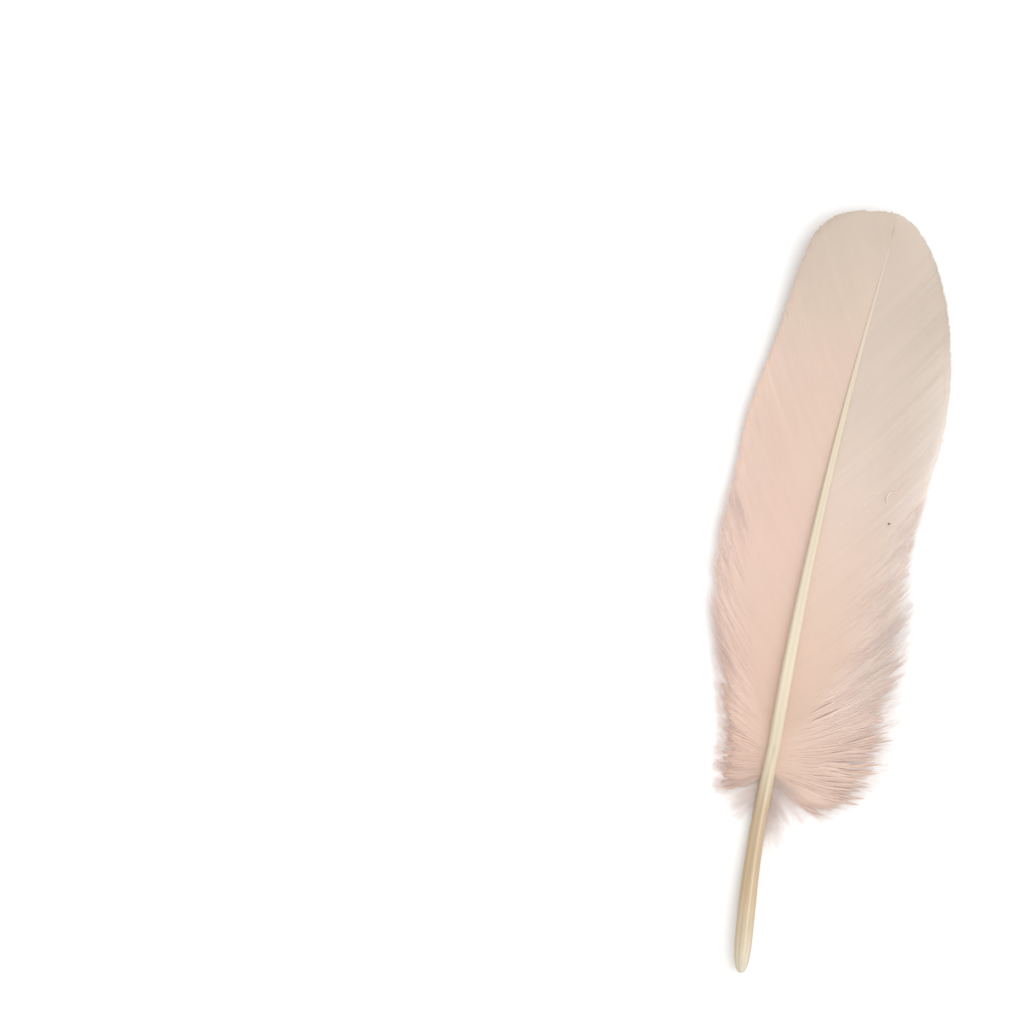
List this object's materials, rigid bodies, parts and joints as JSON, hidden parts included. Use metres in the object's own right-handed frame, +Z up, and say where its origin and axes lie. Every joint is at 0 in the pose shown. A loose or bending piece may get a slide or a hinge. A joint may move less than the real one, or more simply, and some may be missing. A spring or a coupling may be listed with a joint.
{
  "type": "feather",
  "caption": "Pale pink dyed goose feather with a cream shaft, smooth rounded vanes and fluffy down round the foot, lying grooved side up.",
  "frame": {"origin": "middle of the feather's box, on the surface that the feather lies on", "axes": "+Y from the quill's end to the tip of the vanes, +Z up from the surface, out of the grooved side of the shaft, +X to the right as seen from above with the tip away from the viewer"},
  "size_m": [0.052, 0.189, 0.0061],
  "materials": {
    "vanes": "matte dyed barbs, slightly see-through",
    "down": "soft matte fluff",
    "shaft": "satin cream horn, clearer and browner at the bare quill"
  },
  "bodies": {
    "root": {"feather": "vanes"}
  },
  "joints": []
}
